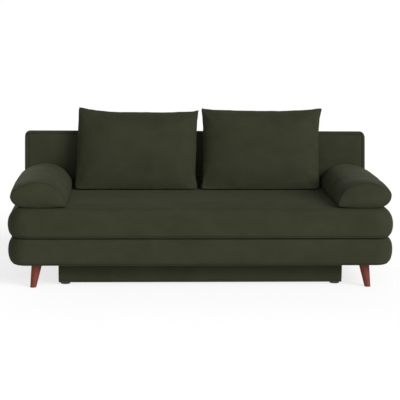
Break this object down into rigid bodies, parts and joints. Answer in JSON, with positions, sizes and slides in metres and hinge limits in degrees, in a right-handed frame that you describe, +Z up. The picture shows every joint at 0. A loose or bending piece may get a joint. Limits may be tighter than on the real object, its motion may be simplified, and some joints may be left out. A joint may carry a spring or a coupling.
{
  "type": "futon sofa bed",
  "caption": "Upholstered click-clack sofa bed with a lifting padded seat over a bedding box, a reclining backrest, loose pillows and bolsters, and splayed wooden legs.",
  "frame": {"origin": "centre of the sofa's outline in plan, on the floor", "axes": "+X along the sofa to the right as seen from the front, +Y from the front to the backrest, +Z up"},
  "size_m": [1.996, 0.926, 0.87],
  "materials": {
    "velvet": "matte",
    "foam": "matte",
    "filling": "matte",
    "lining": "matte",
    "webbing": "matte",
    "timber": "matte",
    "slat_wood": "satin",
    "leg_wood": "satin",
    "black_steel": "satin",
    "zinc_steel": "satin",
    "black_plastic": "matte",
    "rubber": "matte"
  },
  "bodies": {
    "base": {"base_front_rail": "timber", "base_rear_rail": "timber", "base_end_rails": "timber", "base_cross_rails": "timber", "base_front_pad": "foam", "base_end_pads": "foam", "base_cover": "velvet", "base_back_cloth": "lining", "box_front": "timber", "box_back": "timber", "box_side_left": "timber", "box_side_right": "timber", "box_floor": "timber", "box_cover": "velvet", "box_feet": "black_plastic", "leg_front_left": "leg_wood", "leg_front_right": "leg_wood", "leg_rear_left": "leg_wood", "leg_rear_right": "leg_wood", "leg_plates": "black_steel", "leg_bolts": "zinc_steel", "hinge_brackets": "black_steel", "hinge_pins": "zinc_steel", "bracket_screws": "zinc_steel", "seat_buffers": "rubber"},
    "seat": {"seat_front_rail": "timber", "seat_rear_rail": "timber", "seat_end_rails": "timber", "seat_slats": "slat_wood", "slat_holders": "black_plastic", "seat_foam": "foam", "seat_front_pad": "foam", "seat_end_pads": "foam", "seat_cover": "velvet", "seat_dust_cloth": "lining", "seat_plates": "black_steel", "ratchet_drums": "black_steel", "seat_screws": "zinc_steel"},
    "backrest": {"back_bottom_rail": "timber", "back_top_rail": "timber", "back_stiles": "timber", "back_webbing": "webbing", "back_foam_front": "foam", "back_foam_rear": "foam", "back_cover": "velvet", "back_plates": "black_steel", "back_screws": "zinc_steel"},
    "pillow_left": {"pillow_cover_left": "velvet", "pillow_filling_left": "filling"},
    "pillow_right": {"pillow_cover_right": "velvet", "pillow_filling_right": "filling"},
    "bolster_left": {"bolster_cover_left": "velvet", "bolster_foam_left": "foam"},
    "bolster_right": {"bolster_cover_right": "velvet", "bolster_foam_right": "foam"}
  },
  "joints": [
    {"name": "seat_lift", "type": "hinge", "parent": "base", "child": "seat", "pos_m": [0, 0.33689, 0.365], "axis": [-1, 0, 0], "range_deg": [0, 35]},
    {"name": "back_recline", "type": "hinge", "parent": "seat", "child": "backrest", "pos_m": [0, 0.33689, 0.365], "axis": [-1, 0, 0], "range_deg": [0, 80]},
    {"name": "pillow_left_lift", "type": "slide", "parent": "backrest", "child": "pillow_left", "axis": [0, -0.7071, 0.7071], "range_m": [0, 0.35]},
    {"name": "pillow_right_lift", "type": "slide", "parent": "backrest", "child": "pillow_right", "axis": [0, -0.7071, 0.7071], "range_m": [0, 0.35]},
    {"name": "bolster_left_lift", "type": "slide", "parent": "seat", "child": "bolster_left", "axis": [0, 0, 1], "range_m": [0, 0.3]},
    {"name": "bolster_right_lift", "type": "slide", "parent": "seat", "child": "bolster_right", "axis": [0, 0, 1], "range_m": [0, 0.3]}
  ]
}
